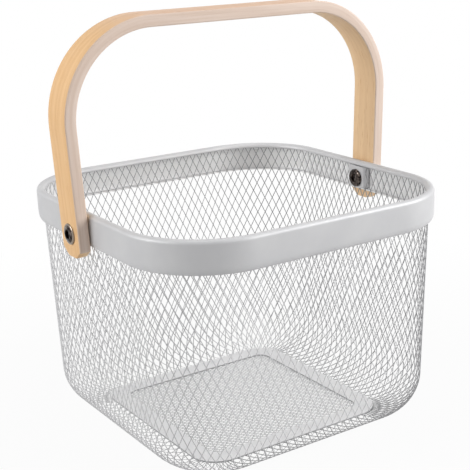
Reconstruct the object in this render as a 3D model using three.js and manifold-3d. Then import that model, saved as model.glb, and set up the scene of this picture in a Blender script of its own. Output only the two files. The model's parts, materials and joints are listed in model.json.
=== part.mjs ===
// Storage basket of expanded steel mesh with a sheet-metal rim band and a bent wooden handle.
// Millimetres, +Z up. The pivots of the handle lie on X, the front of the basket faces -Y,
// and the floor of the basket stands on Z = 0.
import * as THREE from 'three';
import Module from 'manifold-3d';

// Plan of the rim, measured over the outer face of the band.
const RIM_X = 250;
const RIM_Y = 250;
const RIM_CORNER = 63;
const BASKET_H = 180;

// Rim band: a sheet with a rolled top, an inner lip and a lower edge turned in to the mesh.
const BAND_H = 24.2;
const BAND_SHEET = 1.0;
const BAND_TURN_IN = 2.2;
const BAND_TURN_H = 5.0;
const LIP_DROP = 5.8;
const BAND_CORNER_STEPS = 8;
const ROLL_STEPS = 6;

// Wall mesh: strands around diamond openings, drawn wider than the real pitch.
const MESH_T = 0.8;
const STRAND_W = 1.9;
const CELL_AROUND = 18.8;
const CELL_DOWN = 37.6;
const WALL_TAPER = 3.4;
const BOTTOM_EDGE_R = 33;
const BOTTOM_EDGE_ROWS = 3;
const FLANGE = 8.5;
const FLANGE_ROWS = 1;
const MESH_TOP_DROP = 5.0;

// Floor: a finer mesh panel and a flat frame that lies on both meshes.
const FLOOR_CELL_X = 13.5;
const FLOOR_CELL_Y = 24.5;
const FLOOR_STRAND_W = 1.6;
const FLOOR_GAP = 0.5;
const FRAME_LAP = 5.5;
const FRAME_W = 14.3;
const FRAME_T = 1.2;
const FRAME_INNER_CORNER = 9;
const FRAME_OUTER_CORNER = 22;

// Handle: one bent strip with eased edges and clipped ends.
const HANDLE_RISE = 129.3;
const HANDLE_W = 27;
const HANDLE_T = 8.5;
const HANDLE_BEND_R = 69.1;
const LEG_SPLAY = 2.7;
const LEG_TAIL = 17;
const END_CLIP_W = 8;
const END_CLIP_H = 6;
const EDGE_EASE = 0.9;
const BEND_STEPS = 14;

// Pivots: per side a cap nut outside, a screw inside and a plate under the screw's head.
const PIVOT_DROP = 14.5;
const HEAD_R = 7.5;
const HEAD_T = 1.8;
const BARREL_R = 3.3;
const SHANK_R = 2.0;
const SCREW_HEAD_R = 7.2;
const SCREW_HEAD_T = 2.0;
const SOCKET_AF = 6.5;
const SOCKET_DEPTH = 1.4;
const SCREW_LEAD = 0.6;
const NUT_WEB = 1.4;
const PLATE_W = 22;
const PLATE_T = 0.8;
const PLATE_CORNER = 2;
const PLATE_FOOT = 0.5;
const ROUND_STEPS = 20;

// Clearances.
const SEAT = 0.3;
const RUN = 0.3;
const HANDLE_GAP = 0.8;

// Length by which a cutting tool runs past what it cuts.
const CUT_OVER = 5;

const wasm = await Module();
wasm.setup();

const DEG = Math.PI / 180;

// Turns an outline drawn on X and Y, and extruded along Z, to lie on Y and Z.
const DRAWN_ON_YZ = new THREE.Matrix4().makeBasis(
  new THREE.Vector3(0, 1, 0),
  new THREE.Vector3(0, 0, 1),
  new THREE.Vector3(1, 0, 0),
);

const halfX = RIM_X / 2;
const halfY = RIM_Y / 2;
const straightX = RIM_X - 2 * RIM_CORNER;
const straightY = RIM_Y - 2 * RIM_CORNER;
const bandLow = BASKET_H - BAND_H;
const pivotZ = BASKET_H - PIVOT_DROP;
const handleTop = BASKET_H + HANDLE_RISE;

// Depth by which a chord falls inside the arc that it replaces.
const sag = (radius, steps) => radius * (1 - Math.cos(Math.PI / 4 / steps));

// Offset from the band's outer face to the mesh, which clears the turned-in lower edge.
const meshOut = BAND_TURN_IN + 1.1 * BAND_SHEET + SEAT + sag(RIM_CORNER, BAND_CORNER_STEPS);

// Counts of half cells along a straight side and round a corner. Their sum is odd, so that an open
// half cell lies at the top of each pivot's wall and the screw passes between the strands.
const evenCount = (n) => Math.max(2, 2 * Math.round(n / 2));
const sideSteps = evenCount((straightX + straightY) / CELL_AROUND);
const arcSteps = Math.max(4, Math.floor((RIM_CORNER - meshOut) * Math.PI / CELL_AROUND));
const cornerSteps = (sideSteps + arcSteps) % 2 === 1 ? arcSteps : arcSteps + 1;
const roundSteps = 4 * (sideSteps + cornerSteps);

// Offsets from the band's outer face to the lip and the plate.
const lipOut = meshOut + MESH_T + SEAT + sag(RIM_CORNER, cornerSteps);
const lipIn = lipOut + BAND_SHEET;
const rollR = lipIn / 2;
const plateOut = meshOut + MESH_T + SEAT;
const plateIn = plateOut + PLATE_T;

// Point of the rim's plan at half cell u, moved in or out by d.
// Counted from the middle of the front, counter-clockwise seen from above.
function planPoint(u, d) {
  const r = RIM_CORNER + d;
  const quarter = sideSteps + cornerSteps;
  const wrapped = ((u % roundSteps) + roundSteps) % roundSteps;
  const shifted = wrapped + sideSteps / 2;
  const turn = Math.floor(shifted / quarter);
  const local = shifted - turn * quarter;
  const alongX = turn % 2 === 0;
  const run = alongX ? straightX : straightY;
  const depth = (alongX ? halfY : halfX) + d;
  let along;
  let out;
  if (local <= sideSteps) {
    along = -run / 2 + run * local / sideSteps;
    out = depth;
  } else {
    const a = (local - sideSteps) / cornerSteps * 90 * DEG;
    along = run / 2 + r * Math.sin(a);
    out = depth - r + r * Math.cos(a);
  }
  const c = [1, 0, -1, 0][turn % 4];
  const s = [0, 1, 0, -1][turn % 4];
  return [along * c + out * s, along * s - out * c];
}

// Joins equal corners, drops flat triangles and turns the surface outward.
function solid(positions, triangles) {
  const seen = new Map();
  const verts = [];
  const index = positions.map((p) => {
    const key = p.map((v) => Math.round(v * 1e4)).join(' ');
    if (!seen.has(key)) {
      seen.set(key, verts.length / 3);
      verts.push(...p);
    }
    return seen.get(key);
  });
  let tris = [];
  for (const [a, b, c] of triangles) {
    const t = [index[a], index[b], index[c]];
    if (t[0] !== t[1] && t[1] !== t[2] && t[2] !== t[0]) {
      tris.push(t);
    }
  }
  const at = (i) => new THREE.Vector3(verts[3 * i], verts[3 * i + 1], verts[3 * i + 2]);
  const volume = tris.reduce((sum, t) => sum + at(t[0]).dot(at(t[1]).cross(at(t[2]))), 0);
  if (volume < 0) {
    tris = tris.map((t) => [t[0], t[2], t[1]]);
  }
  const mesh = new wasm.Mesh({
    numProp: 3,
    vertProperties: new Float32Array(verts),
    triVerts: new Uint32Array(tris.flat()),
  });
  return new wasm.Manifold(mesh);
}

function solidFromGeometry(geometry) {
  const pos = geometry.getAttribute('position');
  const points = [];
  for (let i = 0; i < pos.count; i += 1) {
    points.push([pos.getX(i), pos.getY(i), pos.getZ(i)]);
  }
  const ids = geometry.index ? Array.from(geometry.index.array) : points.map((_, i) => i);
  const triangles = [];
  for (let i = 0; i < ids.length; i += 3) {
    triangles.push([ids[i], ids[i + 1], ids[i + 2]]);
  }
  return solid(points, triangles);
}

// Closed ring: a profile of (offset, height) pairs carried round the rim's plan.
function ringSolid(profile, steps) {
  const stations = [];
  for (let turn = 0; turn < 4; turn += 1) {
    const start = turn * (sideSteps + cornerSteps) + sideSteps / 2;
    for (let k = 0; k <= steps; k += 1) {
      stations.push(start + cornerSteps * k / steps);
    }
  }
  const points = [];
  const triangles = [];
  const n = profile.length;
  stations.forEach((u) => {
    profile.forEach(([d, z]) => points.push([...planPoint(u, d), z]));
  });
  stations.forEach((_, i) => {
    const next = (i + 1) % stations.length;
    for (let k = 0; k < n; k += 1) {
      const k2 = (k + 1) % n;
      const a = i * n + k;
      const b = next * n + k;
      const c = next * n + k2;
      const e = i * n + k2;
      triangles.push([a, b, c], [a, c, e]);
    }
  });
  return solid(points, triangles);
}

// Expanded mesh: nodes where i + j is even, openings where it is odd. Each strand is flat on the
// outer face and has a ridge on the inner face. place(i, j, depth) gives the point in space.
// The edges end in open half cells, as cut mesh does.
function latticeSolid(countI, countJ, closed, shrink, place) {
  const points = [];
  const triangles = [];
  const ids = new Map();
  const wrapI = (i) => (closed ? ((i % countI) + countI) % countI : i);
  const inside = (i, j) => j >= 0 && j <= countJ && (closed || (i >= 0 && i <= countI));
  const vertex = (key, i, j, depth) => {
    if (!ids.has(key)) {
      ids.set(key, points.length);
      points.push(place(i, j, depth));
    }
    return ids.get(key);
  };
  const reach = 1 - shrink;
  const ways = { l: [-1, 0], b: [0, 1], r: [1, 0], t: [0, -1] };
  const opposite = { l: 'r', r: 'l', t: 'b', b: 't' };
  const corner = (i, j, way) => {
    const [di, dj] = ways[way];
    return vertex(`c${wrapI(i)} ${j} ${way}`, i + di * reach, j + dj * reach, 0);
  };
  const ridge = (i, j) => vertex(`n${wrapI(i)} ${j}`, i, j, 1);
  const facing = (i, j, way) => {
    const [di, dj] = ways[way];
    if (inside(i + di, j + dj)) {
      return corner(i + di, j + dj, opposite[way]);
    }
    return vertex(`e${wrapI(i)} ${j} ${way}`, i + di * shrink, j + dj * shrink, 0);
  };
  const order = ['l', 'b', 'r', 't'];
  const lastI = closed ? countI - 1 : countI;
  for (let j = 0; j <= countJ; j += 1) {
    for (let i = 0; i <= lastI; i += 1) {
      if ((i + j) % 2 === 0) {
        const ring = order.map((way) => facing(i, j, way));
        triangles.push([ring[0], ring[1], ring[2]], [ring[0], ring[2], ring[3]]);
        order.forEach((way, k) => {
          const next = order[(k + 1) % 4];
          const di = ways[way][0] + ways[next][0];
          const dj = ways[way][1] + ways[next][1];
          if (!inside(i + di, j + dj)) {
            triangles.push([ring[(k + 1) % 4], ring[k], ridge(i, j)]);
          }
        });
        if (inside(i + 1, j + 1)) {
          const a = corner(i + 1, j, 'l');
          const b = corner(i, j + 1, 't');
          const c = corner(i, j + 1, 'r');
          const d = corner(i + 1, j, 'b');
          triangles.push([a, b, c], [a, c, d]);
        }
        if (inside(i - 1, j + 1)) {
          const a = corner(i, j + 1, 't');
          const b = corner(i - 1, j, 'r');
          const c = corner(i - 1, j, 'b');
          const d = corner(i, j + 1, 'l');
          triangles.push([a, b, c], [a, c, d]);
        }
      } else {
        order.forEach((way, k) => {
          const next = order[(k + 1) % 4];
          const [ai, aj] = ways[way];
          const [bi, bj] = ways[next];
          if (inside(i + ai, j + aj) && inside(i + bi, j + bj)) {
            const a = corner(i, j, way);
            const b = corner(i, j, next);
            const c = ridge(i + bi, j + bj);
            const d = ridge(i + ai, j + aj);
            triangles.push([a, b, c], [a, c, d]);
          }
        });
      }
    }
  }
  return solid(points, triangles);
}

// Height of a small triangle cut off a half cell, as a share of the half cell.
function strandShare(width, cellA, cellB) {
  const a = cellA / 2;
  const b = cellB / 2;
  return Math.min(0.4, width / 2 * Math.hypot(a, b) / (a * b));
}

const cylinderX = (radius, from, to, steps) => {
  const g = new THREE.CylinderGeometry(radius, radius, to - from, steps);
  g.rotateZ(-90 * DEG);
  g.translate((from + to) / 2, 0, pivotZ);
  return solidFromGeometry(g);
};

// Rim band.
function rimBand() {
  const top = BASKET_H;
  const profile = [[-BAND_TURN_IN, bandLow], [0, bandLow + BAND_TURN_H]];
  for (let k = 0; k <= ROLL_STEPS; k += 1) {
    const a = 180 * DEG * k / ROLL_STEPS;
    profile.push([-rollR + rollR * Math.cos(a), top - rollR + rollR * Math.sin(a)]);
  }
  profile.push([-lipIn, top - LIP_DROP], [-lipOut, top - LIP_DROP]);
  for (let k = ROLL_STEPS - 1; k >= 1; k -= 1) {
    const a = 180 * DEG * k / ROLL_STEPS;
    const r = rollR - BAND_SHEET;
    profile.push([-rollR + r * Math.cos(a), top - rollR + r * Math.sin(a)]);
  }
  profile.push([-BAND_SHEET, bandLow + BAND_TURN_H + 0.3 * BAND_SHEET]);
  profile.push([-BAND_TURN_IN - BAND_SHEET, bandLow + 0.4 * BAND_SHEET]);
  const hole = cylinderX(SHANK_R + RUN, -halfX - CUT_OVER, halfX + CUT_OVER, ROUND_STEPS);
  return ringSolid(profile, BAND_CORNER_STEPS).subtract(hole);
}

// Wall mesh: down the wall, round the bottom edge and in under the frame.
const wallTop = BASKET_H - MESH_TOP_DROP;
const wallDrop = wallTop - BOTTOM_EDGE_R;
const wallRows = Math.max(3, Math.round(wallDrop / (CELL_DOWN / 2)));
const edgeRows = wallRows + BOTTOM_EDGE_ROWS;
const sleeveRows = edgeRows + FLANGE_ROWS;
const floorEdge = -meshOut - WALL_TAPER - BOTTOM_EDGE_R;
const flangeEdge = floorEdge - FLANGE;

// Point of the wall at half cell u round the plan and half cell v down from the top. The depth is
// 0 on the outer face and 1 on the inner ridges.
function wallPoint(u, v, depth) {
  let d = floorEdge - FLANGE * (v - edgeRows) / FLANGE_ROWS;
  let z = 0;
  let turn = 90 * DEG;
  if (v <= wallRows) {
    z = wallTop - wallDrop * v / wallRows;
    d = -meshOut - WALL_TAPER * Math.max(0, bandLow - z) / (bandLow - BOTTOM_EDGE_R);
    turn = 0;
  } else if (v <= edgeRows) {
    turn = 90 * DEG * (v - wallRows) / BOTTOM_EDGE_ROWS;
    d = floorEdge + BOTTOM_EDGE_R * Math.cos(turn);
    z = BOTTOM_EDGE_R * (1 - Math.sin(turn));
  }
  const inward = depth * MESH_T;
  const [x, y] = planPoint(u, d - inward * Math.cos(turn));
  return [x, y, z + inward * Math.sin(turn)];
}

function wallMesh() {
  const share = strandShare(STRAND_W, CELL_AROUND, CELL_DOWN);
  const sleeve = latticeSolid(roundSteps, sleeveRows, true, share, wallPoint);
  return sleeve.subtract(cylinderX(SHANK_R + RUN, -halfX - CUT_OVER, halfX + CUT_OVER, ROUND_STEPS));
}

// Floor frame: laps over the flange of the wall mesh and over the floor mesh.
const frameOutX = halfX + flangeEdge + FRAME_LAP;
const frameOutY = halfY + flangeEdge + FRAME_LAP;

// Floor mesh: a flat panel that ends under the frame, clear of the wall mesh at its round corners.
const flangeCorner = RIM_CORNER + flangeEdge;
const cornerLoss = flangeCorner * (1 - Math.SQRT1_2);
const panelX = halfX + flangeEdge - cornerLoss - FLOOR_GAP;
const panelY = halfY + flangeEdge - cornerLoss - FLOOR_GAP;

function floorMesh() {
  const nX = evenCount(4 * panelX / FLOOR_CELL_X);
  const nY = evenCount(4 * panelY / FLOOR_CELL_Y);
  const share = strandShare(FLOOR_STRAND_W, FLOOR_CELL_X, FLOOR_CELL_Y);
  const place = (i, j, depth) => [
    -panelX + 2 * panelX * (i + share) / (nX + 2 * share),
    -panelY + 2 * panelY * (j + share) / (nY + 2 * share),
    depth * MESH_T,
  ];
  return latticeSolid(nX, nY, false, share, place);
}

// Rounded rectangle as a drawn path, counter-clockwise.
function roundedPath(path, hx, hy, r) {
  path.moveTo(-hx + r, -hy);
  path.lineTo(hx - r, -hy);
  path.absarc(hx - r, -hy + r, r, -90 * DEG, 0, false);
  path.lineTo(hx, hy - r);
  path.absarc(hx - r, hy - r, r, 0, 90 * DEG, false);
  path.lineTo(-hx + r, hy);
  path.absarc(-hx + r, hy - r, r, 90 * DEG, 180 * DEG, false);
  path.lineTo(-hx, -hy + r);
  path.absarc(-hx + r, -hy + r, r, 180 * DEG, 270 * DEG, false);
  return path;
}

function floorFrame() {
  const outer = roundedPath(new THREE.Shape(), frameOutX, frameOutY, FRAME_OUTER_CORNER);
  const inside = roundedPath(new THREE.Path(), frameOutX - FRAME_W, frameOutY - FRAME_W, FRAME_INNER_CORNER);
  outer.holes.push(inside);
  const g = new THREE.ExtrudeGeometry(outer, { depth: FRAME_T, bevelEnabled: false, curveSegments: 7 });
  g.translate(0, 0, MESH_T + SEAT);
  return solidFromGeometry(g);
}

// Handle: the bent strip seen along Y, then cut to its end shape and drilled for the pivots.
const legOut = halfX + HANDLE_GAP + HANDLE_T;
const bendZ = handleTop - HANDLE_BEND_R;
const bendHalf = legOut + LEG_SPLAY;
const splay = LEG_SPLAY / (bendZ - pivotZ);
const tailZ = pivotZ - LEG_TAIL;

function handleSolid() {
  const cx = bendHalf - HANDLE_BEND_R;
  const tailX = legOut - splay * LEG_TAIL;
  const strip = new THREE.Shape();
  const arc = (side, radius, from, to) => {
    for (let k = 0; k <= BEND_STEPS; k += 1) {
      const a = (from + (to - from) * k / BEND_STEPS) * DEG;
      strip.lineTo(side * cx + radius * Math.cos(a), bendZ + radius * Math.sin(a));
    }
  };
  const inner = HANDLE_BEND_R - HANDLE_T;
  strip.moveTo(tailX, tailZ);
  arc(1, HANDLE_BEND_R, 0, 90);
  arc(-1, HANDLE_BEND_R, 90, 180);
  strip.lineTo(-tailX, tailZ);
  strip.lineTo(-tailX + HANDLE_T, tailZ);
  arc(-1, inner, 180, 90);
  arc(1, inner, 90, 0);
  strip.lineTo(tailX - HANDLE_T, tailZ);
  strip.closePath();
  const bent = new THREE.ExtrudeGeometry(strip, {
    depth: HANDLE_W - 2 * EDGE_EASE,
    bevelEnabled: true,
    bevelThickness: EDGE_EASE,
    bevelSize: EDGE_EASE,
    bevelOffset: -EDGE_EASE,
    bevelSegments: 2,
  });
  bent.translate(0, 0, -HANDLE_W / 2 + EDGE_EASE);
  bent.rotateX(90 * DEG);

  const w = HANDLE_W / 2;
  const wide = w + CUT_OVER;
  const clipTop = tailZ + END_CLIP_H * (1 + CUT_OVER / END_CLIP_W);
  const face = new THREE.Shape();
  face.moveTo(-w + END_CLIP_W, tailZ - CUT_OVER);
  face.lineTo(w - END_CLIP_W, tailZ - CUT_OVER);
  face.lineTo(w - END_CLIP_W, tailZ);
  face.lineTo(wide, clipTop);
  face.lineTo(wide, handleTop + CUT_OVER);
  face.lineTo(-wide, handleTop + CUT_OVER);
  face.lineTo(-wide, clipTop);
  face.lineTo(-w + END_CLIP_W, tailZ);
  face.closePath();
  const reach = bendHalf + CUT_OVER;
  const outline = new THREE.ExtrudeGeometry(face, { depth: 2 * reach, bevelEnabled: false });
  outline.translate(0, 0, -reach);
  outline.applyMatrix4(DRAWN_ON_YZ);
  const hole = cylinderX(BARREL_R + RUN, -reach, reach, ROUND_STEPS);
  return solidFromGeometry(bent).intersect(solidFromGeometry(outline)).subtract(hole);
}

// Turned piece about the pivot axis from (radius, x) pairs, with a six-sided socket.
function turnedSolid(profile, socketLow, socketHigh) {
  const g = new THREE.LatheGeometry(profile.map(([r, x]) => new THREE.Vector2(r, x)), ROUND_STEPS);
  g.rotateZ(-90 * DEG);
  g.translate(0, 0, pivotZ);
  const socket = cylinderX(SOCKET_AF / Math.sqrt(3), socketLow, socketHigh, 6);
  return solidFromGeometry(g).subtract(socket);
}

// Cap nut: a domed head on the handle's face and a barrel that the handle turns on.
function pivotNut() {
  const seat = legOut + SEAT;
  const end = halfX + SEAT;
  const bore = SHANK_R + RUN;
  const top = seat + HEAD_T;
  const blind = top - SOCKET_DEPTH - NUT_WEB;
  const profile = [
    [0, top],
    [0.7 * HEAD_R, top],
    [0.9 * HEAD_R, top - 0.25 * HEAD_T],
    [HEAD_R, top - 0.65 * HEAD_T],
    [HEAD_R, seat],
    [BARREL_R, seat],
    [BARREL_R, end],
    [bore, end],
    [bore, blind],
    [0, blind],
  ];
  return turnedSolid(profile, top - SOCKET_DEPTH, top + CUT_OVER);
}

// Screw: a domed head inside the basket and a shank that ends in the nut's bore.
function pivotScrew() {
  const seat = halfX - plateIn - SEAT;
  const tip = legOut + SEAT + HEAD_T - SOCKET_DEPTH - NUT_WEB - RUN;
  const top = seat - SCREW_HEAD_T;
  const profile = [
    [0, top],
    [0.55 * SCREW_HEAD_R, top],
    [0.85 * SCREW_HEAD_R, top + 0.25 * SCREW_HEAD_T],
    [SCREW_HEAD_R, top + 0.65 * SCREW_HEAD_T],
    [SCREW_HEAD_R, seat],
    [SHANK_R, seat],
    [SHANK_R, tip - SCREW_LEAD],
    [SHANK_R - SCREW_LEAD, tip],
    [0, tip],
  ];
  return turnedSolid(profile, top - CUT_OVER, top + SOCKET_DEPTH);
}

// Plate on the inside of the mesh, between the lip and the band's lower edge.
function pivotPlate() {
  const high = BASKET_H - LIP_DROP - SEAT;
  const low = bandLow + PLATE_FOOT;
  const middle = (high + low) / 2;
  const plate = roundedPath(new THREE.Shape(), PLATE_W / 2, (high - low) / 2, PLATE_CORNER);
  const bore = new THREE.Path();
  bore.absarc(0, pivotZ - middle, SHANK_R + RUN, 0, 360 * DEG, false);
  plate.holes.push(bore);
  const g = new THREE.ExtrudeGeometry(plate, { depth: PLATE_T, bevelEnabled: false, curveSegments: 5 });
  g.applyMatrix4(DRAWN_ON_YZ);
  g.translate(halfX - plateIn, 0, middle);
  return solidFromGeometry(g);
}

const coated = new THREE.MeshStandardMaterial({ color: 0xc9cacb, roughness: 0.42, metalness: 0.35 });
const wood = new THREE.MeshStandardMaterial({ color: 0xe3bd90, roughness: 0.55, metalness: 0 });
const plated = new THREE.MeshStandardMaterial({ color: 0x6c6865, roughness: 0.18, metalness: 1 });

function pieceMesh(name, piece, material) {
  const data = piece.getMesh();
  const count = data.vertProperties.length / data.numProp;
  const position = new Float32Array(3 * count);
  for (let i = 0; i < count; i += 1) {
    for (let k = 0; k < 3; k += 1) {
      position[3 * i + k] = data.vertProperties[data.numProp * i + k];
    }
  }
  const g = new THREE.BufferGeometry();
  g.setAttribute('position', new THREE.BufferAttribute(position, 3));
  g.setIndex(new THREE.BufferAttribute(new Uint32Array(data.triVerts), 1));
  g.computeVertexNormals();
  const mesh = new THREE.Mesh(g, material);
  mesh.name = name;
  return mesh;
}

// The pivot's pieces are made for the right side, and the left set is the same one turned round.
function pivotSet(side, turn) {
  const set = new THREE.Group();
  set.add(pieceMesh(`pivot_nut_${side}`, pivotNut(), plated));
  set.add(pieceMesh(`pivot_screw_${side}`, pivotScrew(), plated));
  set.add(pieceMesh(`pivot_plate_${side}`, pivotPlate(), coated));
  set.rotation.z = turn;
  return set;
}

const basket = new THREE.Group();
basket.name = 'storage_basket';
basket.add(pieceMesh('rim_band', rimBand(), coated));
basket.add(pieceMesh('wall_mesh', wallMesh(), coated));
basket.add(pieceMesh('floor_mesh', floorMesh(), coated));
basket.add(pieceMesh('floor_frame', floorFrame(), coated));
basket.add(pieceMesh('handle', handleSolid(), wood));
basket.add(pivotSet('right', 0));
basket.add(pivotSet('left', Math.PI));

export default basket;
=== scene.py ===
# %% [markdown]
# # A storage basket of expanded mesh with a bent wooden handle
#
# A band of sheet steel carries a sleeve of expanded mesh. A finer mesh panel and a flat frame close the
# floor, and a bent wooden strip swings on two pivots. The solids of these pieces are loaded first, as a
# frame that stays where it is. Each surface made below takes the place of its solid, in metres.

# %% Load the solids
import json

import bpy
import numpy as np
from mathutils import Matrix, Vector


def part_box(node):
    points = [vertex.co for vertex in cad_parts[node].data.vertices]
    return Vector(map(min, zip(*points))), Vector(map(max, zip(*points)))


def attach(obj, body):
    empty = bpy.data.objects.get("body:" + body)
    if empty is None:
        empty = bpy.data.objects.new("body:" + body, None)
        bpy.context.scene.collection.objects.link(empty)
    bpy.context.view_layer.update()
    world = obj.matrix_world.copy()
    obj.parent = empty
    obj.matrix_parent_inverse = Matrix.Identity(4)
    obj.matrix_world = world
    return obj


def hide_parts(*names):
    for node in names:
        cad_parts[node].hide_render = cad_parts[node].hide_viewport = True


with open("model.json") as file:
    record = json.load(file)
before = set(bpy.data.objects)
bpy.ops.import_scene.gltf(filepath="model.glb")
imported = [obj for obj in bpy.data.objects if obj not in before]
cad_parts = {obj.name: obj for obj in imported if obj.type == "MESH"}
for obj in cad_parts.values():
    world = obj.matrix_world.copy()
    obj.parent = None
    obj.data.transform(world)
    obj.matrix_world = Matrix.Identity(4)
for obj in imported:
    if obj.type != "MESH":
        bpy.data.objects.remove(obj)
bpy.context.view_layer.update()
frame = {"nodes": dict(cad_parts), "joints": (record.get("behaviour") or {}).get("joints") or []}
MM = 0.001
print("solids:", ", ".join(sorted(frame["nodes"])))

# %% [markdown]
# ## Camera
#
# The basket is seen from the left of its front, from above the rim, through a long lens. The picture is
# a cut from a larger one, so the lens axis isn't in its middle. A camera aimed to one side would bend the
# upright lines; a shift of the lens keeps them, so a small shift is used.

# %% Camera
AZIMUTH, ELEVATION, ROLL = np.radians((-35.207, 19.1225, -1.249))
DISTANCE = 0.84677
AIM_SIDE = 0.03772
AIM_HEIGHT = 0.09797
FOCAL_PIXELS = 1090.67
SHIFT_PIXELS = 50
IMAGE_PIXELS = 470
SENSOR_MM = 36


def put_object(obj, right, up, back, place):
    """Links an object into the scene. Its three axes and its place are the columns of its matrix."""
    columns = np.eye(4)
    columns[:3] = np.column_stack([right, up, back, place])
    obj.matrix_world = Matrix(columns.tolist())
    bpy.context.scene.collection.objects.link(obj)


outwards = np.array([np.sin(AZIMUTH), -np.cos(AZIMUTH), 0.0])
back = outwards * np.cos(ELEVATION) + [0.0, 0.0, np.sin(ELEVATION)]
level = np.array([np.cos(AZIMUTH), np.sin(AZIMUTH), 0.0])
upright = np.cross(back, level)
right = level * np.cos(ROLL) + upright * np.sin(ROLL)
up = upright * np.cos(ROLL) - level * np.sin(ROLL)
eye = level * AIM_SIDE + [0.0, 0.0, AIM_HEIGHT] + back * DISTANCE

lens = bpy.data.cameras.new("photo_camera")
lens.sensor_width = SENSOR_MM
lens.lens = FOCAL_PIXELS / IMAGE_PIXELS * SENSOR_MM
lens.shift_x = -SHIFT_PIXELS / IMAGE_PIXELS
lens.shift_y = SHIFT_PIXELS / IMAGE_PIXELS
camera = bpy.data.objects.new("photo_camera", lens)
put_object(camera, right, up, back, eye)
bpy.context.scene.camera = camera
print(f"camera at {np.round(eye, 3)}, lens {lens.lens:.1f} mm")

# %% [markdown]
# ## From arrays to meshes
#
# Every new surface is an array of points and arrays of faces. One helper numbers the quads of a grid, and
# another puts the arrays into a mesh and checks that the faces look outwards: the volume that they enclose
# is added up from the tetrahedra between each face and the origin, and it has to be positive.

# %% Grid helper
def grid_faces(rows, columns, wrap_rows=False, wrap_columns=False):
    """Quads of a grid whose point (i, j) has the number i * columns + j. Each quad joins a point with its
    neighbours at i + 1 and j + 1, and the count goes round again where the grid closes on itself."""
    i = np.arange(rows if wrap_rows else rows - 1)[:, None]
    j = np.arange(columns if wrap_columns else columns - 1)[None, :]
    i_next = (i + 1) % rows
    j_next = (j + 1) % columns
    corners = [i * columns + j, i_next * columns + j, i_next * columns + j_next, i * columns + j_next]
    return np.stack(corners, -1).reshape(-1, 4)


print("grid of 3 by 4 points, closed both ways:", len(grid_faces(3, 4, True, True)), "quads")

# %% Piece helpers
SHARP_DEGREES = 38
CM3 = MM**3 * 1000


def enclosed_volume(points, face_sets):
    """Sum over all faces, cut into fans of triangles, of a . (b x c) / 6."""
    total = 0.0
    for faces in face_sets:
        for k in range(1, faces.shape[1] - 1):
            a, b, c = points[faces[:, 0]], points[faces[:, k]], points[faces[:, k + 1]]
            total += np.einsum("ij,ij->", a, np.cross(b, c)) / 6
    return total


def make_piece(name, points, face_sets, body, slot, *nodes):
    """Object of the given points and faces that rides on a body and stands for its solids."""
    points = np.asarray(points, float).reshape(-1, 3)
    volume = enclosed_volume(points, face_sets)
    if volume < 0:
        face_sets = [faces[:, ::-1] for faces in face_sets]
    corners = np.concatenate([faces.ravel() for faces in face_sets]).astype(np.int32)
    sizes = np.concatenate([np.full(len(faces), faces.shape[1]) for faces in face_sets])
    mesh = bpy.data.meshes.new(name)
    mesh.vertices.add(len(points))
    mesh.vertices.foreach_set("co", points.ravel().astype(np.float32))
    mesh.loops.add(len(corners))
    mesh.loops.foreach_set("vertex_index", corners)
    mesh.polygons.add(len(sizes))
    mesh.polygons.foreach_set("loop_start", (np.cumsum(sizes) - sizes).astype(np.int32))
    mesh.update(calc_edges=True)
    mesh.polygons.foreach_set("use_smooth", np.ones(len(sizes), bool))
    mesh.set_sharp_from_angle(angle=np.radians(SHARP_DEGREES))
    obj = bpy.data.objects.new(name, mesh)
    bpy.context.scene.collection.objects.link(obj)
    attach(obj, body)
    if nodes:
        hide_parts(*nodes)
    triangles = int((sizes - 2).sum())
    print(f"{name}: {len(points)} points, {triangles} triangles, {abs(volume) / CM3:.1f} cm3")
    return obj


def store_values(obj, name, values):
    """One number per point of a mesh, kept under a name that a material can read."""
    layer = obj.data.attributes.new(name, "FLOAT", "POINT")
    layer.data.foreach_set("value", np.asarray(values, np.float32).ravel())


print("edges stay sharp from", SHARP_DEGREES, "degrees")

# %% [markdown]
# ## The plan of the basket
#
# Seen from above, the band, the mesh and the bottom edge are the same rounded square at different offsets.
# One function gives all of them: a point counted round the outline, moved in or out by a distance.

# %% Plan of the rim
band_low_corner, band_high_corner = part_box("rim_band")
RIM_HALF = band_high_corner.x
RIM_TOP = band_high_corner.z
BAND_LOW = band_low_corner.z
RIM_CORNER = 63 * MM
STRAIGHT = RIM_HALF - RIM_CORNER
MESH_OUT = RIM_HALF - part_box("wall_mesh")[1].x
CORNER_ARC = np.pi / 2 * (RIM_CORNER - MESH_OUT)
QUARTER = 2 * STRAIGHT + CORNER_ARC


def plan(s, d):
    """Point of a rounded square. s is the length along the mesh's outline from the middle of the front,
    counter-clockwise from above: first a straight half side, then a quarter circle, and so on. d moves the
    point outwards, which changes the radius of the corners and leaves the straight sides as long."""
    side = np.floor((s + STRAIGHT) / QUARTER)
    local = s + STRAIGHT - side * QUARTER
    angle = np.clip((local - 2 * STRAIGHT) / CORNER_ARC, 0, 1) * np.pi / 2
    along = np.minimum(local, 2 * STRAIGHT) - STRAIGHT + (RIM_CORNER + d) * np.sin(angle)
    out = STRAIGHT + (RIM_CORNER + d) * np.cos(angle)
    turn = side * np.pi / 2
    return along * np.cos(turn) + out * np.sin(turn), along * np.sin(turn) - out * np.cos(turn)


print(f"rim {2 * RIM_HALF:.3f} m wide, mesh outline {4 * QUARTER:.3f} m long")

# %% [markdown]
# ## Rim band
#
# The band is one strip of sheet. Its top is rolled inwards to a bead with a short lip that hides the cut
# edge of the mesh, and its lower edge is pressed in until it meets the mesh. A curve with a bevel could
# make it, but a profile carried round the plan gives the exact offsets of the roll and the lip.

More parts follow.
